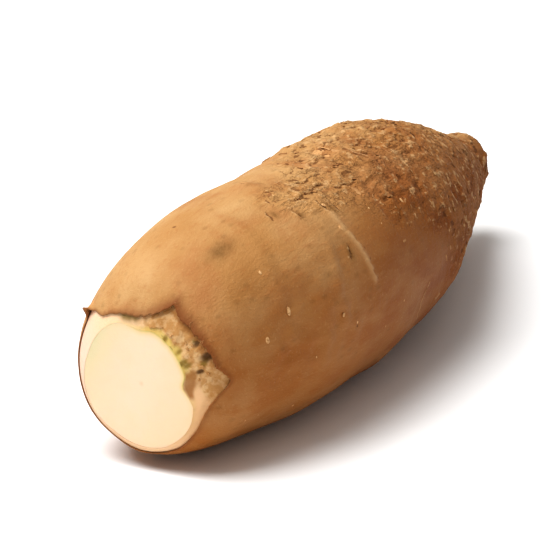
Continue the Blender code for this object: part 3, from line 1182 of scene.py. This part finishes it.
def rindMaterial():
    made, tree = newMaterial("tornRind", rindLook["plain"])
    look = rindLook
    dark, torn, brown, fringe, orange, olive, pink = masks(
        tree, "dark", "torn", "brown", "fringe", "orange", "olive", "pink"
    )
    strings = noiseValue(tree, 0.0008, 1.0, 4.0, 2.0)
    blotch = noiseValue(tree, 0.0022, 1.0, 3.0, 6.0)
    ring = layered(tree, look["ring"], look, (orange, 1, "orange"), (pink, 1, "pink"))
    bare = mixed(tree, ranged(tree, blotch, 0.42, 0.62), look["tan"], look["cream"])
    bare = layered(tree, bare, look, (ranged(tree, strings, 0.50, 0.70), 0.30, "brown"))
    colour = mixed(tree, ranged(tree, torn, 0.30, 0.65), ring, bare)
    green = mixed(tree, ranged(tree, blotch, 0.54, 0.66, 0.0, 0.6), look["lime"], look["olive"])
    colour = layered(
        tree, mixed(tree, times(tree, fringe, 0.80), colour, green), look,
        (olive, 0.80, "olive"), (brown, 0.85, "brown"), (dark, 0.90, "pit"),
    )
    return coated(made, colour, ranged(tree, strings, 0.3, 0.7, 0.50, 0.75), strings, 0.0003, 0.6)


fleshLook = {
    "cream": srgb(240, 210, 180),
    "warm": srgb(240, 207, 174),
    "peach": srgb(240, 203, 165),
    "yellow": srgb(224, 192, 116),
    "green": srgb(196, 176, 88),
    "lime": srgb(214, 206, 160),
    "core": srgb(216, 182, 138),
    "middle": (0.0, 0.0016, 0.0236),   # of the cut face, where its rays meet
    "plain": {
        "Subsurface Weight": 0.25,
        "Subsurface Radius": (0.003, 0.0018, 0.0008),
        "Subsurface Scale": 1.0,
    },
}


def fleshMaterial():
    made, tree = newMaterial("cutFlesh", fleshLook["plain"])
    look = fleshLook
    rim, torn, orange, left = masks(tree, "rim", "torn", "orange", "left")
    clouds = noiseValue(tree, 0.012, 1.0, 3.0)
    grain = noiseValue(tree, 0.0006, 1.0, 4.0, 3.0)
    centred = vectorMath(tree, "SUBTRACT", objectPlace(tree), look["middle"])
    flat = vectorMath(tree, "MULTIPLY", centred, (0.0, 1.0, 1.0))
    inputs = {"Vector": vectorMath(tree, "NORMALIZE", flat), "Scale": 13.0, "Detail": 4.0, "Roughness": 0.6}
    rays = addNode(tree, "ShaderNodeTexNoise", inputs).outputs["Fac"]
    colour = layered(
        tree, mixed(tree, ranged(tree, clouds, 0.35, 0.65), look["cream"], look["warm"]), look,
        (times(tree, ranged(tree, rays, 0.50, 0.68), ranged(tree, rim, 0.15, 0.8, 0.0, 0.35)), 1, "warm"),
        (times(tree, orange, rim), 1, "peach"),
        (times(tree, left, ranged(tree, rim, 0.55, 0.95, 0.0, 0.7)), 1, "lime"),
        (times(tree, ranged(tree, rim, 0.86, 1.0), ranged(tree, torn, 0.0, 0.6, 0.06, 0.75)), 1, "yellow"),
        (times(tree, ranged(tree, rim, 0.955, 1.0), ranged(tree, torn, 0.1, 0.7, 0.0, 0.75)), 1, "green"),
        (ranged(tree, rim, 0.06, 0.0, 0.0, 0.45), 1, "core"),
    )
    height = plus(tree, grain, times(tree, rays, 0.5))
    return coated(made, colour, ranged(tree, grain, 0.3, 0.7, 0.38, 0.56), height, 0.00016, 0.5)


hairLook = {"pale": srgb(206, 160, 112), "dark": srgb(140, 92, 56)}


def hairMaterial():
    made, tree = newMaterial("hairBrown", {})
    tone, grain = noiseValue(tree, 0.006, 1.0, 2.0), noiseValue(tree, 0.0004, 1.0, 3.0)
    colour = mixed(tree, ranged(tree, tone, 0.4, 0.6), hairLook["pale"], hairLook["dark"])
    return coated(made, colour, ranged(tree, tone, 0.3, 0.7, 0.70, 0.90), grain, 0.00005, 0.5)


brown, lifted, rindTan = barkMaterial(), flakeMaterial(), rindMaterial()
dressed = (
    (barkSkin, brown, "bark"),
    (barkFlakes, lifted, "bark"),
    (tornShreds, lifted, "bark"),
    (lenticelDots, dotMaterial(), "bark"),
    (rootHairs, hairMaterial(), "bark"),
    (cutRind, rindTan, "rind"),
    (neckRind, rindTan, "rind"),
    (rindCrumbs, rindTan, "rind"),
    (cutFlesh, fleshMaterial(), "flesh"),
)
for piece, material, slotName in dressed:
    piece.data.materials.append(material)
    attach(piece, "root")
for piece in (barkSkin, cutRind, neckRind, cutFlesh):
    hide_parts("cassava_root")
print("materials placed on", len(dressed), "pieces")

# The studio: a white floor, a big soft light high on the left, and a camera at the photo's angle
studio = {
    "floorSize": 3.0,
    "floorLook": {"Base Color": (0.93, 0.93, 0.93, 1.0), "Roughness": 0.9, "Specular IOR Level": 0.1},
    "sky": 0.31,
    "key": {"azimuth": -137, "elevation": 66, "distance": 1.3, "size": 1.0, "watts": 23.0},
    "fill": {"azimuth": -50, "elevation": 72, "distance": 1.5, "size": 0.9, "watts": 1.0},
}
view = {
    "azimuth": -59.1,
    "elevation": 20.2,
    "distance": 1.2,
    "pixelsPerMetre": 1000.0,     # in the photo, at the cut face
    "anchor": (-0.115, 0.0007, 0.0236),
    "anchorPixel": (97.8, 371.1),
    "windowMiddle": (134.0, 340.0),
    "windowWidth": 150.0,
}


def backward(azimuth, elevation):
    side, up = math.radians(azimuth), math.radians(elevation)
    return Vector((math.sin(side) * math.cos(up), -math.cos(side) * math.cos(up), math.sin(up)))


def addFloor():
    shape = bmesh.new()
    bmesh.ops.create_grid(shape, x_segments=1, y_segments=1, size=studio["floorSize"])
    floor = finished("floor", shape)
    floor.data.materials.append(newMaterial("paleFloor", studio["floorLook"])[0])


def addLight(name):
    values = studio[name]
    data = bpy.data.lights.new(name, "AREA")
    data.shape = "SQUARE"
    data.size = values["size"]
    data.energy = values["watts"]
    light = bpy.data.objects.new(name, data)
    away = backward(values["azimuth"], values["elevation"])
    light.location = away * values["distance"] + Vector((0, 0, 0.03))
    light.rotation_euler = away.to_track_quat("Z", "Y").to_euler()
    bpy.context.scene.collection.objects.link(light)


def addSky():
    world = bpy.data.worlds.new("studioSky")
    world.use_nodes = True
    background = world.node_tree.nodes["Background"]
    background.inputs["Color"].default_value = (1.0, 0.98, 0.95, 1.0)
    background.inputs["Strength"].default_value = studio["sky"]
    bpy.context.scene.world = world


def addCamera():
    away = backward(view["azimuth"], view["elevation"])
    right = Vector((math.cos(math.radians(view["azimuth"])), math.sin(math.radians(view["azimuth"])), 0))
    up = away.cross(right)
    focal = view["distance"] * view["pixelsPerMetre"]
    across = (view["windowMiddle"][0] - view["anchorPixel"][0]) / focal
    above = (view["anchorPixel"][1] - view["windowMiddle"][1]) / focal
    aim = (right * across + up * above - away).normalized()
    data = bpy.data.cameras.new("camera")
    data.sensor_width = 36.0
    data.lens = data.sensor_width * focal / view["windowWidth"]
    camera = bpy.data.objects.new("camera", data)
    camera.location = Vector(view["anchor"]) + away * view["distance"]
    camera.rotation_euler = aim.to_track_quat("-Z", "Y").to_euler()
    bpy.context.scene.collection.objects.link(camera)
    bpy.context.scene.camera = camera


addFloor()
addLight("key")
addLight("fill")
addSky()
addCamera()
bpy.context.scene.view_settings.view_transform = "Standard"
bpy.context.scene.view_settings.look = "Medium High Contrast"
print("studio ready")
